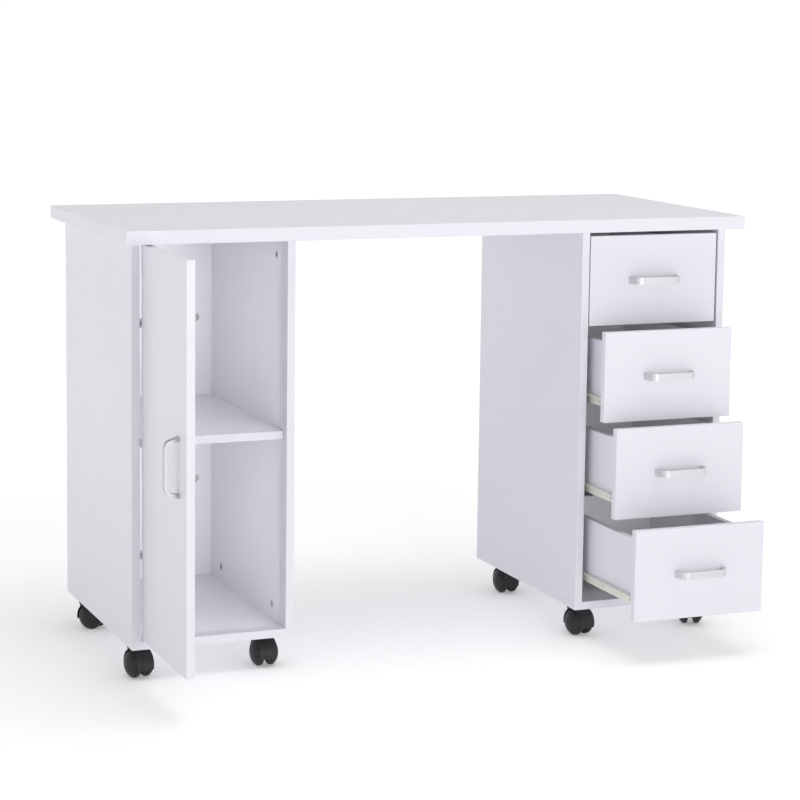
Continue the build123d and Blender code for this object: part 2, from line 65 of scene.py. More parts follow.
class Finish:
    """A node material under construction, with its Principled shader."""

    def __init__(self, name, colour, roughness, metallic=0.0):
        self.material = bpy.data.materials.new(name)
        self.material.use_nodes = True
        self.tree = self.material.node_tree
        self.shader = self.tree.nodes["Principled BSDF"]
        self.set("Base Color", (*colour, 1))
        self.set("Roughness", roughness)
        self.set("Metallic", metallic)
        self.place = self.add("ShaderNodeTexCoord").outputs["Object"]

    def set(self, socket, value):
        self.shader.inputs[socket].default_value = value

    def add(self, kind, **settings):
        node = self.tree.nodes.new(kind)
        for name, value in settings.items():
            setattr(node, name, value)
        return node

    def link(self, source, target):
        self.tree.links.new(source, target)

    def feed(self, source, socket):
        self.link(source, self.shader.inputs[socket])

    def stretched(self, scale):
        """The object coordinates, scaled along each axis."""
        mapping = self.add("ShaderNodeMapping")
        self.link(self.place, mapping.inputs["Vector"])
        mapping.inputs["Scale"].default_value = scale
        return mapping.outputs["Vector"]

    def noise(self, scale, detail, roughness=0.5, where=None):
        node = self.add("ShaderNodeTexNoise")
        self.link(where or self.place, node.inputs["Vector"])
        node.inputs["Scale"].default_value = scale
        node.inputs["Detail"].default_value = detail
        node.inputs["Roughness"].default_value = roughness
        return node.outputs["Fac"]

    def cells(self, scale):
        """A grey level of its own for each cell of a Voronoi pattern."""
        node = self.add("ShaderNodeTexVoronoi")
        self.link(self.place, node.inputs["Vector"])
        node.inputs["Scale"].default_value = scale
        separate = self.add("ShaderNodeSeparateColor")
        self.link(node.outputs["Color"], separate.inputs[0])
        return separate.outputs[0]

    def spread(self, source, low, high, start=0.3, end=0.7):
        """A texture value mapped from one range onto another."""
        node = self.add("ShaderNodeMapRange")
        self.link(source, node.inputs["Value"])
        node.inputs["From Min"].default_value = start
        node.inputs["From Max"].default_value = end
        node.inputs["To Min"].default_value = low
        node.inputs["To Max"].default_value = high
        return node.outputs["Result"]

    def maths(self, operation, first, second):
        """Two values added or multiplied; the second may be a plain number."""
        node = self.add("ShaderNodeMath", operation=operation)
        self.link(first, node.inputs[0])
        if isinstance(second, float):
            node.inputs[1].default_value = second
        else:
            self.link(second, node.inputs[1])
        return node.outputs[0]

    def tint(self, factor, first, second):
        """Gives the shader a colour between two, chosen by a factor."""
        node = self.add("ShaderNodeMix", data_type="RGBA")
        self.link(factor, node.inputs["Factor"])
        node.inputs[6].default_value = (*first, 1)
        node.inputs[7].default_value = (*second, 1)
        self.feed(node.outputs[2], "Base Color")

    def gloss(self, source, low, high):
        """Gives the shader a roughness between two, chosen by a texture."""
        self.feed(self.spread(source, low, high), "Roughness")

    def bump(self, height, strength, distance):
        node = self.add("ShaderNodeBump")
        self.link(height, node.inputs["Height"])
        node.inputs["Strength"].default_value = strength
        node.inputs["Distance"].default_value = distance
        self.feed(node.outputs["Normal"], "Normal")


def toned(tone, colour):
    """A colour made lighter or darker."""
    return tuple(tone * part for part in colour)


WHITE = (0.80, 0.80, 0.86)
WHITE_SHADE = (0.775, 0.775, 0.835)


def melamine(name):
    """White melamine: faint clouding, a fine pearl grain and an almost even satin gloss."""
    look = Finish(name, WHITE, 0.33)
    clouds = look.spread(look.noise(2.2, 3.0), 0.0, 1.0, 0.35, 0.65)
    speckle = look.spread(look.noise(900.0, 2.0), 0.0, 0.22)
    look.tint(look.maths("ADD", look.maths("MULTIPLY", clouds, 0.5), speckle), WHITE, WHITE_SHADE)
    look.gloss(look.noise(26.0, 4.0), 0.28, 0.39)
    fine = look.noise(1300.0, 1.0)
    coarse = look.maths("MULTIPLY", look.noise(160.0, 2.0), 0.6)
    look.bump(look.maths("ADD", fine, coarse), 0.10, 0.00012)
    return look.material


BRUSH_FINE = 900.0
BRUSH_LONG = 14.0


def brushed_metal(name, along, tone=1.0):
    """Satin silver metal, brushed along one axis (0, 1 or 2)."""
    light, dark = toned(tone, (0.70, 0.70, 0.725)), toned(tone, (0.65, 0.65, 0.675))
    look = Finish(name, light, 0.45, 1.0)
    scale = [BRUSH_LONG if axis == along else BRUSH_FINE for axis in range(3)]
    streaks = look.noise(1.0, 3.0, 0.6, look.stretched(scale))
    look.tint(look.spread(streaks, 0.0, 1.0), light, dark)
    look.gloss(streaks, 0.42, 0.50)
    look.bump(streaks, 0.05, 0.00004)
    return look.material


def epoxy_steel(name):
    """Cream white epoxy powder on slide steel, slightly rippled."""
    look = Finish(name, (0.80, 0.78, 0.71), 0.36)
    ripple = look.noise(520.0, 2.0)
    drift = look.noise(9.0, 3.0)
    look.tint(look.spread(drift, 0.0, 1.0), (0.82, 0.80, 0.73), (0.76, 0.74, 0.67))
    look.gloss(ripple, 0.30, 0.42)
    look.bump(ripple, 0.18, 0.0002)
    return look.material


def zinc(name, tone=1.0, shine=1.0):
    """Zinc plate with soft spangle and rubbed patches, lighter or darker and shinier or duller."""
    light, dark = toned(tone, (0.66, 0.67, 0.69)), toned(tone, (0.48, 0.49, 0.52))
    look = Finish(name, light, 0.3, 1.0)
    spangle = look.cells(420.0)
    rub = look.noise(130.0, 4.0, 0.6)
    look.tint(look.maths("MULTIPLY", spangle, rub), light, dark)
    look.gloss(rub, 0.22 / shine, 0.42 / shine)
    look.bump(rub, 0.08, 0.0001)
    return look.material


def nylon(name, tone=1.0):
    """Black moulded nylon with a fine spark-eroded grain, rubbed a little shinier in places."""
    dark, pale = toned(tone, (0.015, 0.015, 0.016)), toned(tone, (0.026, 0.026, 0.028))
    look = Finish(name, dark, 0.42)
    look.set("Specular IOR Level", 0.35)
    grain = look.noise(1700.0, 2.0, 0.6)
    rub = look.noise(70.0, 3.0)
    look.tint(look.spread(rub, 0.0, 1.0), dark, pale)
    rough = look.maths("ADD", look.spread(grain, 0.0, 0.10), look.spread(rub, 0.33, 0.45))
    look.feed(rough, "Roughness")
    look.bump(grain, 0.22, 0.00012)
    return look.material


def hardboard(name):
    """White lacquered hardboard, smooth on top with a faint fibre print."""
    look = Finish(name, (0.78, 0.78, 0.82), 0.45)
    fibre = look.noise(1.0, 4.0, 0.65, look.stretched((300.0, 60.0, 300.0)))
    look.tint(look.spread(fibre, 0.0, 1.0), (0.80, 0.80, 0.84), (0.74, 0.74, 0.78))
    look.gloss(fibre, 0.40, 0.52)
    look.bump(fibre, 0.15, 0.0001)
    return look.material


def beech(name):
    """Plain beech with short flecks along its length."""
    look = Finish(name, (0.55, 0.36, 0.19), 0.6)
    flecks = look.noise(1.0, 5.0, 0.6, look.stretched((1400.0, 1400.0, 120.0)))
    look.tint(look.spread(flecks, 0.0, 1.0), (0.62, 0.42, 0.24), (0.42, 0.26, 0.13))
    look.bump(flecks, 0.3, 0.0002)
    return look.material


def plain_nylon(name):
    """White slide-roller nylon, slightly cloudy."""
    look = Finish(name, (0.74, 0.74, 0.70), 0.4)
    haze = look.noise(240.0, 3.0)
    look.tint(look.spread(haze, 0.0, 1.0), (0.76, 0.76, 0.72), (0.68, 0.68, 0.64))
    look.gloss(haze, 0.34, 0.48)
    look.bump(haze, 0.1, 0.0001)
    return look.material


FINISHES = {
    "white_melamine": melamine("white_melamine"),
    "white_hardboard": hardboard("white_hardboard"),
    "beech": beech("beech"),
    "satin_metal": brushed_metal("satin_metal", 0),
    "white_steel": epoxy_steel("white_steel"),
    "white_plastic": plain_nylon("white_plastic"),
    "zinc_steel": zinc("zinc_steel"),
    "black_nylon": nylon("black_nylon"),
}
# A darker copy of the satin metal for the door's handle: painted shade, the same metal as the
# drawer handles.
satin_upright_painted_shade = brushed_metal("satin_metal_upright_painted_shade", 2, 0.86)
cast_zinc = zinc("cast_zinc", 0.9, 0.6)
tyre = nylon("wheel_nylon", 0.85)


def dress(node, material):
    """Gives a CAD node a material in every one of its slots."""
    mesh = nodes[node].data
    if not mesh.materials:
        mesh.materials.append(material)
    for index in range(len(mesh.materials)):
        mesh.materials[index] = material


for entry in frame["record"]["subparts"]:
    dress(entry["node"], FINISHES[entry["material_slot"]])


# ---------------------------------------------------------------- making meshes

def rounded(points, radii, steps):
    """A closed outline with an arc of the given radius at each corner, as plain (u, v) pairs."""
    outline = []
    for index, (corner, radius) in enumerate(zip(points, radii)):
        corner = Vector(corner)
        before = (Vector(points[index - 1]) - corner).normalized()
        after = (Vector(points[(index + 1) % len(points)]) - corner).normalized()
        if not radius:
            outline.append(tuple(corner))
            continue
        half = before.angle(after) / 2
        centre = corner + (before + after).normalized() * (radius / math.sin(half))
        reach = radius / math.tan(half)
        start = corner + before * reach - centre
        across = Vector((-start.y, start.x))
        turn = start.angle_signed(corner + after * reach - centre)
        for step in range(steps + 1):
            angle = -turn * step / steps
            outline.append(tuple(centre + start * math.cos(angle) + across * math.sin(angle)))
    return outline


def box_outline(start, end, half_height, corner, steps):
    """A rounded rectangle's outline, level about 0."""
    ends = [(start, -half_height), (end, -half_height), (end, half_height), (start, half_height)]
    return rounded(ends, [corner] * 4, steps)


def soften(mesh, caps, edge, segments):
    """Rounds the rims of end faces."""
    rims = [rim for cap in caps for rim in cap.edges]
    bmesh.ops.bevel(
        mesh, geom=rims, offset=edge, segments=segments, profile=0.5, affect="EDGES")


def plate(mesh, outline, origin, along, out, thickness, edge=0.0, segments=3):
    """A closed plate: an outline in the plane of along and out, made thick both ways."""
    wide = along.cross(out)
    layers = []
    for side in (-0.5, 0.5):
        corner = origin + wide * (side * thickness)
        layers.append([mesh.verts.new(corner + along * u + out * v) for u, v in outline])
    caps = [mesh.faces.new(layer) for layer in layers]
    join_rings(mesh, *layers)
    if edge:
        soften(mesh, caps, edge, segments)


def join_rings(mesh, first, second):
    """Faces between two closed rings of points; a ring of one point is a pole."""
    count = max(len(first), len(second))
    for index in range(count):
        after = (index + 1) % count
        corners = [first[index % len(first)], first[after % len(first)]]
        corners += [second[after % len(second)], second[index % len(second)]]
        unique = list(dict.fromkeys(corners))
        if len(unique) > 2:
            mesh.faces.new(unique)


def lathe(mesh, profile, centre, axis, steps, closed=False):
    """A turned solid. The profile is (along, radius) pairs, from pole to pole or a closed loop."""
    side = axis.orthogonal().normalized()
    other = axis.cross(side)
    angles = [math.tau * step / steps for step in range(steps)]
    radials = [side * math.cos(angle) + other * math.sin(angle) for angle in angles]
    rings = []
    for along, radius in profile:
        place = centre + axis * along
        corners = [place + radial * radius for radial in radials] if radius else [place]
        rings.append([mesh.verts.new(corner) for corner in corners])
    for first, second in zip(rings, rings[1:]):
        join_rings(mesh, first, second)
    if closed:
        join_rings(mesh, rings[-1], rings[0])


def rod(mesh, place, axis, start, end, radius, steps=32):
    """A plain round bar along an axis, between two distances from a place."""
    lathe(mesh, [(start, 0), (start, radius), (end, radius), (end, 0)], place, axis, steps)


def swing(mesh, section, centre, axis, ahead, start, end, edge, steps):
    """A closed section of (along, radius) pairs swung about an axis between two angles."""
    rings = []
    for step in range(steps + 1):
        angle = start + (end - start) * step / steps
        radial = ahead * math.cos(angle) + UP * math.sin(angle)
        corners = [centre + axis * along + radial * radius for along, radius in section]
        rings.append([mesh.verts.new(corner) for corner in corners])
    for first, second in zip(rings, rings[1:]):
        join_rings(mesh, first, second)
    caps = [mesh.faces.new(rings[0]), mesh.faces.new(rings[-1])]
    soften(mesh, caps, edge, 2)


def cross_recess(mesh, centre, axis, reach, width, depth):
    """Two crossed bars, sunk to a depth below a point on a face that looks along the axis."""
    side = axis.orthogonal().normalized()
    corner = [(reach, width), (width, width), (width, reach)]
    arms = []
    for _ in range(4):
        arms += corner
        corner = [(-v, u) for u, v in corner]
    plate(mesh, arms, centre, side, axis.cross(side), 2 * depth)


def in_metres(shape, sign=1):
    """A shape given in millimetres, turned over along its first axis if the sign is -1."""
    return [(sign * first * MM, second * MM) for first, second in shape]


def solid(name, mesh):
    """A mesh object in the scene, with outward normals."""
    bmesh.ops.recalc_face_normals(mesh, faces=mesh.faces)
    data = bpy.data.meshes.new(name)
    mesh.to_mesh(data)
    mesh.free()
    thing = bpy.data.objects.new(name, data)
    bpy.context.scene.collection.objects.link(thing)
    return thing


SLIVER = 0.003 * MM


def carved(name, mesh, cuts):
    """A mesh object with other solids cut out of it, cleared of slivers and pinholes."""
    thing, cutter = solid(name, mesh), solid("cutter", cuts)
    modifier = thing.modifiers.new("carve", "BOOLEAN")
    modifier.operation = "DIFFERENCE"
    modifier.solver = "EXACT"
    modifier.object = cutter
    bpy.context.view_layer.update()
    evaluated = thing.evaluated_get(bpy.context.evaluated_depsgraph_get())
    data = bpy.data.meshes.new_from_object(evaluated)
    result = bmesh.new()
    result.from_mesh(data)
    bmesh.ops.remove_doubles(result, verts=result.verts, dist=SLIVER)
    bmesh.ops.dissolve_degenerate(result, edges=result.edges, dist=SLIVER)
    open_edges = [edge for edge in result.edges if edge.is_boundary]
    bmesh.ops.holes_fill(result, edges=open_edges, sides=0)
    result.to_mesh(data)
    result.free()
    thing.modifiers.clear()
    thing.data = data
    bpy.data.objects.remove(cutter)
    return thing


def finish_piece(thing, body, slot, stands_for=(), look=None, sharp=38):
    """Shades a piece, gives it its slot's finish or the look given instead, ties it to its body,
    and hides the CAD nodes that it stands for.
    """
    thing.data.materials.clear()
    thing.data.materials.append(look or FINISHES[slot])
    thing.data.shade_smooth()
    thing.data.set_sharp_from_angle(angle=math.radians(sharp))
    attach(thing, body)
    if stands_for:
        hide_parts(*stands_for)


def islands(node):
    """Each separate solid of a CAD node, as its lowest and highest corner and its points."""
    mesh = bmesh.new()
    mesh.from_mesh(nodes[node].data)
    bmesh.ops.remove_doubles(mesh, verts=mesh.verts, dist=0.001 * MM)
    found = []
    left = set(mesh.verts)
    while left:
        group = [left.pop()]
        for vert in group:
            for edge in vert.link_edges:
                other = edge.other_vert(vert)
                if other in left:
                    left.remove(other)
                    group.append(other)
        places = [vert.co.copy() for vert in group]
        low = Vector(min(place[axis] for place in places) for axis in range(3))
        high = Vector(max(place[axis] for place in places) for axis in range(3))
        found.append((low, high, places))
    mesh.free()
    return sorted(found, key=lambda island: tuple(island[0]))


def unit(axis, sign=1):
    """A unit vector along X, Y or Z."""
    return Vector([sign if index == axis else 0 for index in range(3)])


# ---------------------------------------------------------------- screws

# The head in parts of its height and radius, and the shank in parts of its length and radius.
SCREW_HEAD = [(1, 0), (0.97, 0.45), (0.80, 0.76), (0.5, 0.94), (0.2, 1), (0, 1)]
SCREW_SHANK = [(0, 1), (-0.85, 1), (-1, 0.3), (-1, 0)]
# The cross recess, in parts of the head's radius and height.
SCREW_REACH = 0.55
SCREW_SLOT = 0.14
SCREW_DEPTH = 0.6
SCREW_STEPS = 32


class Screws:
    """Cross-recess pan-head screws, gathered into one piece."""

    def __init__(self):
        self.mesh, self.cuts = bmesh.new(), bmesh.new()

    def add(self, seat, out, length, radius, height, shank):
        """A screw with its head on a seat and its shank behind it."""
        profile = [(height * along, radius * part) for along, part in SCREW_HEAD]
        profile += [(length * along, shank * part) for along, part in SCREW_SHANK]
        lathe(self.mesh, profile, seat, out, SCREW_STEPS)
        reach, width, depth = SCREW_REACH * radius, SCREW_SLOT * radius, SCREW_DEPTH * height
        cross_recess(self.cuts, seat + out * height, out, reach, width, depth)

    def finish(self, name, body, stands_for=()):
        finish_piece(carved(name, self.mesh, self.cuts), body, "zinc_steel", stands_for)


def screw_size(radius, height, shank):
    """A kind of screw: its head's radius and height, and its shank's radius, in millimetres."""
    return {"radius": radius * MM, "height": height * MM, "shank": shank * MM}


# ---------------------------------------------------------------- handles

BAR_INSET = 8.5 * MM
STRAP = 4 * MM
STRAP_WIDTH = 13 * MM
STRAP_TAPER = 3 * MM
STRAP_FOOT = 7 * MM
STRAP_EDGE = 1.3 * MM
BEND = 15 * MM
SCREW_SPACING = 96 * MM
HANDLE_SCREW = screw_size(4, 2.4, 2)


def handle(node, board, along, look):
    """A strap handle on a board's outer face, with its two screws in from behind."""
    low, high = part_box(node)
    face_low, face_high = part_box(board)
    across = 0 if board == "door_panel" else 1
    out = unit(across, -1)
    origin = (low + high) / 2
    origin[across] = face_low[across]
    foot = (high - low).dot(along) / 2
    reach = face_low[across] - low[across]
    corner = foot - BAR_INSET
    inner = corner - STRAP_TAPER
    under = reach - STRAP
    outer_side = [(-foot, 0), (-corner, reach), (corner, reach), (foot, 0)]
    inner_side = [(foot - STRAP_FOOT, 0), (inner, under), (-inner, under), (STRAP_FOOT - foot, 0)]
    radii = [0, BEND, BEND, 0, 0, BEND - STRAP, BEND - STRAP, 0]
    mesh = bmesh.new()
    outline = rounded(outer_side + inner_side, radii, 14)
    plate(mesh, outline, origin, along, out, STRAP_WIDTH, STRAP_EDGE, 4)
    body = body_of[node]
    finish_piece(solid(f"{node}_bow", mesh), body, "satin_metal", [node], look)
    screws = Screws()
    for side in (-1, 1):
        seat = origin + along * (side * SCREW_SPACING / 2)
        seat[across] = face_high[across]
        screws.add(seat, -out, (face_high - face_low)[across], **HANDLE_SCREW)
    screws.finish(f"{node}_screws", body)


# The door handle takes the darker copy of the satin metal, which is painted shade.
handle("door_handle", "door_panel", unit(2), satin_upright_painted_shade)
for number in DRAWERS:
    handle(f"drawer_{number}_handle", f"drawer_{number}_front", unit(0), FINISHES["satin_metal"])


# ---------------------------------------------------------------- castors

# One wheel, from its inner face over the tread to its domed outer face and hub cap.
WHEEL_SHAPE = [
    (6.6, 0), (6.6, 6.2), (7.0, 6.8), (8.4, 7.4), (8.8, 8.2), (8.8, 18.8), (8.2, 19.8), (6.9, 20.4),
    (6.6, 21.0), (6.6, 22.2), (6.9, 23.2), (7.7, 24.1), (8.9, 24.7), (10.4, 24.95), (12.0, 25.0),
    (13.4, 24.85), (14.6, 24.4), (15.3, 23.8), (15.6, 23.3), (15.5, 22.9), (15.9, 22.7),
    (16.6, 22.5), (17.7, 21.7), (19.2, 20.2), (20.8, 18.0), (22.2, 15.4), (23.4, 12.6),
    (24.3, 9.8), (24.8, 7.6), (24.9, 6.9), (24.7, 6.6), (24.8, 6.2), (25.2, 5.9), (25.45, 5.0),
    (25.5, 3.0), (25.5, 0),
]
# Half of the hood's section, from the middle of its crown over the rim and down the central web.
HOOD_HALF = [
    (0, 28.0), (5.0, 28.0), (9.5, 27.92), (13.0, 27.7), (15.2, 27.35), (16.2, 26.95), (16.5, 26.5),
    (16.4, 26.25), (16.0, 26.15), (14.6, 26.2), (7.2, 26.2), (6.1, 25.9), (5.5, 25.2), (5.5, 6.5),
]
HUB_SHAPE = [(-5.5, 3.1), (-5.5, 7.5), (-5.0, 8.0), (5.0, 8.0), (5.5, 7.5), (5.5, 3.1)]
# The neck's (height, radius) pairs above the floor.
NECK_SHAPE = [
    (40.0, 3.2), (40.0, 9.0), (50.0, 11.5), (52.2, 10.6), (53.4, 9.6), (54.6, 9.1), (55.4, 9.0),
    (55.7, 8.7), (55.7, 3.2),
]
AXLE_HALF = 9 * MM
AXLE_RADIUS = 3 * MM
# What is cut away for the kingpin and for the wheels: a rod's start, end and radius.
PIN_BORE = (36 * MM, 60 * MM, 3.2 * MM)
WHEEL_ROOM = (-20 * MM, 20 * MM, 26.3 * MM)
HOOD_FRONT = math.radians(-18)
HOOD_BACK = math.radians(195)
HOOD_EDGE = 0.5 * MM
HOOD_ARC_STEPS = 56
WHEEL_STEPS = 96
NECK_STEPS = 48
WHEEL_SHARP = 24
HOOD_SHARP = 30


def castor(name):
    """One twin-wheel castor: its hood on the swivel, and its wheels on the axle."""
    roll, swivel = joints[f"{name}_roll"], joints[f"{name}_swivel"]
    centre, axle = Vector(roll["pos_m"]), Vector(roll["axis"])
    ahead = UP.cross(axle) * -1
    pivot = Vector(swivel["pos_m"])
    pivot.z = 0
    wheels, hood = f"{name}_wheels", f"{name}_hood"

    mesh = bmesh.new()
    for side in (-1, 1):
        lathe(mesh, in_metres(WHEEL_SHAPE, side), centre, axle, WHEEL_STEPS)
    rod(mesh, centre, axle, -AXLE_HALF, AXLE_HALF, AXLE_RADIUS)
    pair = solid(f"{name}_twin_wheels", mesh)
    finish_piece(pair, body_of[wheels], "black_nylon", [wheels], tyre, WHEEL_SHARP)

    mesh, bore = bmesh.new(), bmesh.new()
    section = in_metres(HOOD_HALF) + list(reversed(in_metres(HOOD_HALF[1:], -1)))
    swing(mesh, section, centre, axle, ahead, HOOD_FRONT, HOOD_BACK, HOOD_EDGE, HOOD_ARC_STEPS)
    rod(bore, pivot, UP, *PIN_BORE)
    shell = carved(f"{name}_shell", mesh, bore)
    finish_piece(shell, body_of[hood], "black_nylon", [hood], sharp=HOOD_SHARP)

    mesh, room = bmesh.new(), bmesh.new()
    lathe(mesh, in_metres(NECK_SHAPE), pivot, UP, NECK_STEPS, closed=True)
    rod(room, centre, axle, *WHEEL_ROOM, WHEEL_STEPS)
    neck = carved(f"{name}_neck", mesh, room)
    finish_piece(neck, body_of[hood], "black_nylon", sharp=HOOD_SHARP)

    mesh = bmesh.new()
    lathe(mesh, in_metres(HUB_SHAPE), centre, axle, NECK_STEPS, closed=True)
    finish_piece(solid(f"{name}_hub", mesh), body_of[hood], "black_nylon", sharp=HOOD_SHARP)


for joint in joints:
    if joint.endswith("_swivel"):
        castor(joint.removesuffix("_swivel"))


# ---------------------------------------------------------------- wood screws and cam discs

WOOD_SCREW_HEAD = 1.1 * MM
WOOD_SCREW_SHANK = 1.8 * MM


def make_wood_screws():
    """Every screw of the castor plates, slide channels and hinge plates."""
    screws = Screws()
    for low, high, places in islands("screws"):
        size = high - low
        axis = max(range(3), key=lambda index: size[index])
        across = (axis + 1) % 3
        middle = (low + high) / 2
        widest = max(places, key=lambda place: abs(place[across] - middle[across]))
        out = unit(axis, 1 if widest[axis] > middle[axis] else -1)
        seat = middle + out * (size[axis] / 2 - WOOD_SCREW_HEAD)
        length = size[axis] - WOOD_SCREW_HEAD
        screws.add(seat, out, length, size[across] / 2, WOOD_SCREW_HEAD, WOOD_SCREW_SHANK)
    screws.finish("wood_screws", "carcass", ["screws"])


CAM_SHAPE = [
    (-11.5, 0), (-11.5, 7.2), (-3.5, 7.2), (-3.3, 7.0), (-3.3, 6.1), (-3.1, 5.9), (-0.6, 5.9),
    (-0.3, 5.6), (-0.3, 0),
]
CAM_CROSS = (3.8 * MM, 1.2 * MM, 4.0 * MM)
CAM_STEPS = 48


def make_cams():
    """Die-cast cam discs, each with a sunk ring and a cross slot, just under the board's face."""
    mesh, cuts = bmesh.new(), bmesh.new()
    for low, high, _ in islands("cam_locks"):
        size = high - low
        axis = min(range(3), key=lambda index: size[index])
        middle = (low + high) / 2
        cabinet = math.copysign(cabinet_middle, middle.x)
        out = unit(axis, -1 if axis == 1 or middle.x > cabinet else 1)
        face = middle + out * (size[axis] / 2)
        lathe(mesh, in_metres(CAM_SHAPE), face, out, CAM_STEPS)
        cross_recess(cuts, face, out, *CAM_CROSS)
    cams = carved("cam_discs", mesh, cuts)
    finish_piece(cams, "carcass", "zinc_steel", ["cam_locks"], cast_zinc)


make_wood_screws()
make_cams()


# ---------------------------------------------------------------- drawer runners

RAIL_LIP = 9 * MM
RAIL_HEIGHT = 17 * MM
RAIL_FLANGE = 12 * MM
RAIL_LEVEL = RAIL_HEIGHT / 2
SHEET = 1.2 * MM
INNER_BEND = 0.4 * MM
OUTER_BEND = 1.6 * MM
LIP_BEND = 0.8 * MM
SMALL_HOLES = [42 * MM + step * 10 * MM for step in range(4)]
LARGE_HOLES = [run * MM for run in (91, 145, 171, 215, 262, 310, 352)]
RUNNER_SCREWS = [run * MM for run in (18, 126, 238, 334)]
SMALL_HOLE = 1.5 * MM
LARGE_HOLE = 2.3 * MM
HOLE_STEPS = 24
RUNNER_SCREW = screw_size(2.9, 1.0, 1.6)
RUNNER_SCREW_LENGTH = 9 * MM
ROLLER_RADIUS = 6.5 * MM
ROLLER_INSET = 8 * MM
ROLLER_STEPS = 48
PIN_STEPS = 32
ROLLER_PIN = [(0, 0), (0, 3), (2, 2.5), (7.4, 2.5), (7.4, 0)]
ROLLER_TREAD = [
    (2.0, 2.6), (2.0, 5.8), (2.5, 6.4), (3.0, 6.5), (6.0, 6.5), (6.5, 6.4), (7.0, 5.8), (7.0, 4.4),
    (6.4, 4.1), (6.4, 2.6),
]


def rail_outline():
    """A rail's section in (out, up) pairs: a bottom flange inward, a web, a top lip outward."""
    top = RAIL_HEIGHT - SHEET
    points = [
        (-RAIL_FLANGE, 0), (SHEET, 0), (SHEET, top), (RAIL_LIP, top),
        (RAIL_LIP, RAIL_HEIGHT), (0, RAIL_HEIGHT), (0, SHEET), (-RAIL_FLANGE, SHEET),
    ]
    first = [INNER_BEND, OUTER_BEND, LIP_BEND, INNER_BEND]
    second = [INNER_BEND, OUTER_BEND, INNER_BEND, INNER_BEND]
    return rounded(points, first + second, 5)


def make_runners(number):
    """The drawer's two rails: folded sheet with punched holes and screws, and a roller each."""
    node = f"drawer_{number}_runners"
    body = body_of[node]
    box_low, box_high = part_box(f"drawer_{number}_box")
    drawer_middle = (box_low.x + box_high.x) / 2
    rails, holes, rollers = bmesh.new(), bmesh.new(), bmesh.new()
    screws = Screws()
    for low, high, _ in islands(node):
        turn = 1 if low.x > drawer_middle else -1
        wall = high.x - RAIL_LIP if turn > 0 else low.x + RAIL_LIP
        out = unit(0, turn)
        base = Vector((wall, (low.y + high.y) / 2, high.z - RAIL_HEIGHT))
        plate(rails, rail_outline(), base, out, UP, high.y - low.y)
        for runs, radius in ((SMALL_HOLES, SMALL_HOLE), (LARGE_HOLES, LARGE_HOLE)):
            for run in runs:
                place = Vector((wall, low.y + run, base.z + RAIL_LEVEL))
                rod(holes, place, out, -SHEET, 3 * SHEET, radius, HOLE_STEPS)
        for run in RUNNER_SCREWS:
            seat = Vector((wall, low.y + run, base.z + RAIL_LEVEL)) + out * SHEET
            screws.add(seat, out, RUNNER_SCREW_LENGTH, **RUNNER_SCREW)
        hub = Vector((wall, high.y - ROLLER_INSET, low.z + ROLLER_RADIUS)) + out * SHEET
        lathe(rails, in_metres(ROLLER_PIN), hub, out, PIN_STEPS)
        lathe(rollers, in_metres(ROLLER_TREAD), hub, out, ROLLER_STEPS, closed=True)
    finish_piece(carved(f"drawer_{number}_rails", rails, holes), body, "white_steel", [node])
    finish_piece(solid(f"drawer_{number}_rollers", rollers), body, "white_plastic")
    screws.finish(f"drawer_{number}_rail_screws", body)


for number in DRAWERS:
    make_runners(number)


# ---------------------------------------------------------------- concealed hinges

ARM_LIFT = 2 * MM
ARM_HEIGHT = 16 * MM
ARM_CORNER = 5 * MM
ARM_EDGE = 1.6 * MM
FOOT_CORNER = 2 * MM
FOOT_EDGE = 0.4 * MM
FOOT_LEAD = 6 * MM
WING_LEAD = 29 * MM
WING_LENGTH = 14 * MM
ADJUSTERS = (13 * MM, 36 * MM)
ADJUSTER_WELL = 3.3 * MM
ADJUSTER_DEPTH = 2.5 * MM
ADJUSTER_LENGTH = 2 * MM
ADJUSTER_SCREW = screw_size(3.0, 1.4, 1.5)
ARM_WELLS = (20 * MM, 52 * MM)
ARM_WELL = 3.5 * MM
ARM_FLOOR = 1.4 * MM


def make_hinge_arms():
    """Wall plates with winged bases, pressed arms and their two adjusting screws."""
    mesh, wells = bmesh.new(), bmesh.new()
    screws = Screws()
    out, along = unit(0), unit(1)
    for low, high, _ in islands("hinge_arms"):
        start = Vector((low.x, low.y, (low.z + high.z) / 2))
        length = high.y - low.y
        rise = high.x - low.x - ARM_LIFT
        foot = start + out * (ARM_LIFT / 2)
        long_foot = box_outline(FOOT_LEAD, length, ARM_HEIGHT / 2, FOOT_CORNER, 8)
        wings = box_outline(WING_LEAD, WING_LEAD + WING_LENGTH, (high.z - low.z) / 2, ARM_CORNER, 8)
        for outline in (long_foot, wings):
            plate(mesh, outline, foot, along, UP, ARM_LIFT, FOOT_EDGE)
        crown = start + out * (ARM_LIFT + rise / 2)
        arm = box_outline(0.0, length, ARM_HEIGHT / 2, ARM_CORNER, 8)
        plate(mesh, arm, crown, along, UP, rise, ARM_EDGE, 4)
        for run in ADJUSTERS:
            seat = start + along * run + out * (high.x - low.x)
            rod(wells, seat, out, -ADJUSTER_DEPTH, MM, ADJUSTER_WELL)
            screws.add(seat - out * ADJUSTER_DEPTH, out, ADJUSTER_LENGTH, **ADJUSTER_SCREW)
        for run in ARM_WELLS:
            seat = start + along * run + out * (ARM_LIFT + ARM_FLOOR)
            rod(wells, seat, out, 0, rise, ARM_WELL)
    arms = carved("hinge_wall_arms", mesh, wells)
    finish_piece(arms, "carcass", "zinc_steel", ["hinge_arms"])
    screws.finish("hinge_adjusters", "carcass")


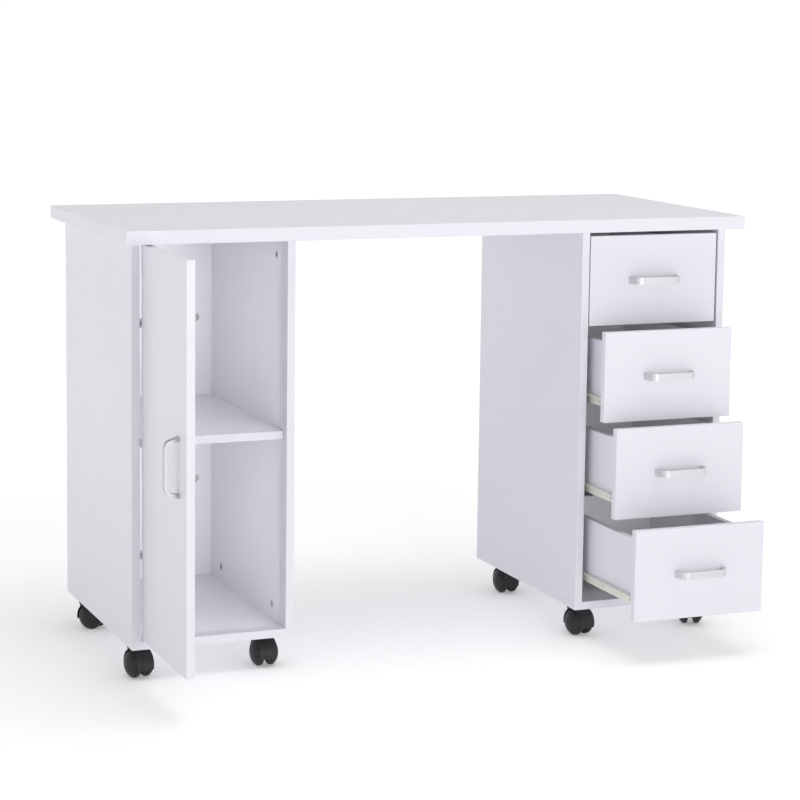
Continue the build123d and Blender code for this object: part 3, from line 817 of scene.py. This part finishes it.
CUP_SHAPE = [
    (-11.4, 0), (-11.4, 16.0), (-10.6, 17.2), (-9.8, 17.4), (0.0, 17.4), (0.9, 17.2), (1.2, 16.9),
    (1.2, 16.5), (0.9, 16.2), (-9.0, 15.9), (-9.8, 15.4), (-10.0, 14.8), (-10.0, 0),
]
CUP_STEPS = 72
CUP_HOLE = (-MM, 3 * MM, 16.6 * MM)
FLANGE = MM
FLANGE_HALF = 12 * MM
FLANGE_CORNER = 10 * MM
FLANGE_EDGE = 0.3 * MM
CUP_SCREW_REACH = 25 * MM
CUP_SCREW_LENGTH = 10 * MM
CUP_SCREW = screw_size(2.8, 0.9, 1.6)


def make_hinge_cups():
    """Cups let into the door, with their flanges and screws."""
    cups, flanges, holes = bmesh.new(), bmesh.new(), bmesh.new()
    screws = Screws()
    door_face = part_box("door_panel")[1].x
    out = unit(0)
    for low, high, _ in islands("hinge_cups"):
        centre = Vector((door_face, (low.y + high.y) / 2, (low.z + high.z) / 2))
        lathe(cups, in_metres(CUP_SHAPE), centre, out, CUP_STEPS)
        tall = (high.z - low.z) / 2
        outline = box_outline(-tall, tall, FLANGE_HALF, FLANGE_CORNER, 10)
        plate(flanges, outline, centre + out * (FLANGE / 2), UP, unit(1), FLANGE, FLANGE_EDGE, 2)
        rod(holes, centre, out, *CUP_HOLE, CUP_STEPS)
        for side in (-1, 1):
            seat = centre + UP * (side * CUP_SCREW_REACH) + out * FLANGE
            screws.add(seat, out, CUP_SCREW_LENGTH, **CUP_SCREW)
    finish_piece(solid("hinge_door_cups", cups), "door", "zinc_steel", ["hinge_cups"])
    finish_piece(carved("hinge_door_flanges", flanges, holes), "door", "zinc_steel")
    screws.finish("hinge_door_screws", "door")


make_hinge_arms()
make_hinge_cups()


# ---------------------------------------------------------------- camera, floor and light

CAMERA_PLACE = Vector((-1.6916, -4.1040, 1.1944))
CAMERA_YAW = math.radians(-21.991)
CAMERA_PITCH = math.radians(-7.547)
CAMERA_ROLL = math.radians(0.703)
CAMERA_LENS = 108.39
CAMERA_SENSOR = 36
CAMERA_SHIFT = -0.1
CAMERA_FAR = 60


def make_camera():
    """The camera, turned by yaw, pitch and roll from looking along +Y."""
    ahead = Vector((
        -math.sin(CAMERA_YAW) * math.cos(CAMERA_PITCH),
        math.cos(CAMERA_YAW) * math.cos(CAMERA_PITCH),
        math.sin(CAMERA_PITCH),
    ))
    level = Vector((math.cos(CAMERA_YAW), math.sin(CAMERA_YAW), 0))
    above = level.cross(ahead)
    right = math.cos(CAMERA_ROLL) * level + math.sin(CAMERA_ROLL) * above
    turned = Matrix((right, right.cross(ahead), -ahead)).transposed().to_4x4()
    data = bpy.data.cameras.new("camera")
    data.lens = CAMERA_LENS
    data.sensor_width = CAMERA_SENSOR
    data.shift_y = CAMERA_SHIFT
    data.clip_end = CAMERA_FAR
    camera = bpy.data.objects.new("camera", data)
    camera.matrix_world = Matrix.Translation(CAMERA_PLACE) @ turned
    bpy.context.scene.collection.objects.link(camera)
    bpy.context.scene.camera = camera


def ramp(tree, source, start, end, first, last):
    """A node output eased from one value to another while the source goes from start to end."""
    node = tree.nodes.new("ShaderNodeMapRange")
    node.interpolation_type = "SMOOTHSTEP"
    tree.links.new(source, node.inputs["Value"])
    limits = {"From Min": start, "From Max": end, "To Min": first, "To Max": last}
    for name, value in limits.items():
        node.inputs[name].default_value = value
    return node.outputs["Result"]


FLOOR_RADIUS = 30
# How far from the middle the floor's glow begins and stops rising, and its strength at each.
FLOOR_GLOW = (0.8, 3.5, 0.26, 0.57)
# How high above the horizon the surround begins and stops darkening, and its strength at each.
SURROUND_GLOW = (0.08, 0.35, 1.02, 0.46)


def make_floor():
    """A wide plain floor with painted light: it glows faintly, least near the middle and more so
    further out.
    """
    look = Finish("floor", (0.95, 0.95, 0.95), 0.9)
    mottle = look.spread(look.noise(3.0, 2.0), 0.0, 1.0)
    look.tint(mottle, (0.955, 0.955, 0.955), (0.94, 0.94, 0.94))
    look.set("Specular IOR Level", 0.1)
    look.set("Emission Color", (1, 1, 1, 1))
    reach = look.add("ShaderNodeVectorMath", operation="LENGTH")
    look.link(look.place, reach.inputs[0])
    # The floor's glow is painted light, weakest near the table and rising with distance.
    look.feed(ramp(look.tree, reach.outputs["Value"], *FLOOR_GLOW), "Emission Strength")
    mesh = bmesh.new()
    bmesh.ops.create_circle(mesh, cap_ends=True, segments=64, radius=FLOOR_RADIUS)
    data = bpy.data.meshes.new("floor")
    mesh.to_mesh(data)
    mesh.free()
    data.materials.append(look.material)
    floor = bpy.data.objects.new("floor", data)
    bpy.context.scene.collection.objects.link(floor)


def make_world():
    """A white surround, brightest at the horizon."""
    world = bpy.data.worlds.new("surround")
    world.use_nodes = True
    tree = world.node_tree
    coords = tree.nodes.new("ShaderNodeTexCoord")
    split = tree.nodes.new("ShaderNodeSeparateXYZ")
    tree.links.new(coords.outputs["Generated"], split.inputs[0])
    background = tree.nodes["Background"]
    background.inputs["Color"].default_value = (1, 1, 1, 1)
    strength = ramp(tree, split.outputs["Z"], *SURROUND_GLOW)
    tree.links.new(strength, background.inputs["Strength"])
    bpy.context.scene.world = world


def soft_light(name, place, target, width, height, power):
    """A broad area light aimed at a point."""
    data = bpy.data.lights.new(name, "AREA")
    data.shape = "RECTANGLE"
    data.size = width
    data.size_y = height
    data.energy = power
    light = bpy.data.objects.new(name, data)
    light.location = place
    light.rotation_euler = (Vector(target) - Vector(place)).to_track_quat("-Z", "Y").to_euler()
    bpy.context.scene.collection.objects.link(light)
    return light


# Each studio light's name, place, width and power.
STUDIO = [("overhead", (0.4, -0.6, 4.5), 3.0, 70), ("front", (0.2, -5.0, 0.75), 1.2, 38)]
STUDIO_TARGET = (0, 0, 0.4)
FILL_WIDTH = 0.25
FILL_MARGIN = 4 * MM
FILL_INSET = 5 * MM
FILL_SPREAD = math.radians(115)
FILL_COLOUR = (1, 0.99, 0.90)
FILL_POWER_LEFT = 0.26
FILL_POWER_RIGHT = 0.18


def fill(mouth, low, high, middle, power):
    """A faint, unseen light that stands in a cabinet's mouth and shines to its back."""
    place = Vector((middle, mouth, (low + high) / 2))
    tall = high - low - 2 * FILL_MARGIN
    light = soft_light("fill", place, place + unit(1), FILL_WIDTH, tall, power)
    light.visible_camera = False
    light.data.spread = FILL_SPREAD
    light.data.color = FILL_COLOUR


def make_light():
    """A broad overhead light, a low one in front, and faint fills in the two cabinets."""
    make_world()
    for name, place, width, power in STUDIO:
        soft_light(name, place, STUDIO_TARGET, width, width, power)
    shelf_low, shelf_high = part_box("left_shelf")
    mouth = shelf_low.y + FILL_INSET
    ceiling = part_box("tabletop")[0].z
    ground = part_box("left_bottom")[1].z
    fill(mouth, ground, shelf_low.z, -cabinet_middle, FILL_POWER_LEFT)
    fill(mouth, shelf_high.z, ceiling, -cabinet_middle, FILL_POWER_LEFT)
    fill(mouth, ground, ceiling, cabinet_middle, FILL_POWER_RIGHT)
    bpy.context.scene.view_settings.view_transform = "Standard"


make_camera()
make_floor()
make_light()
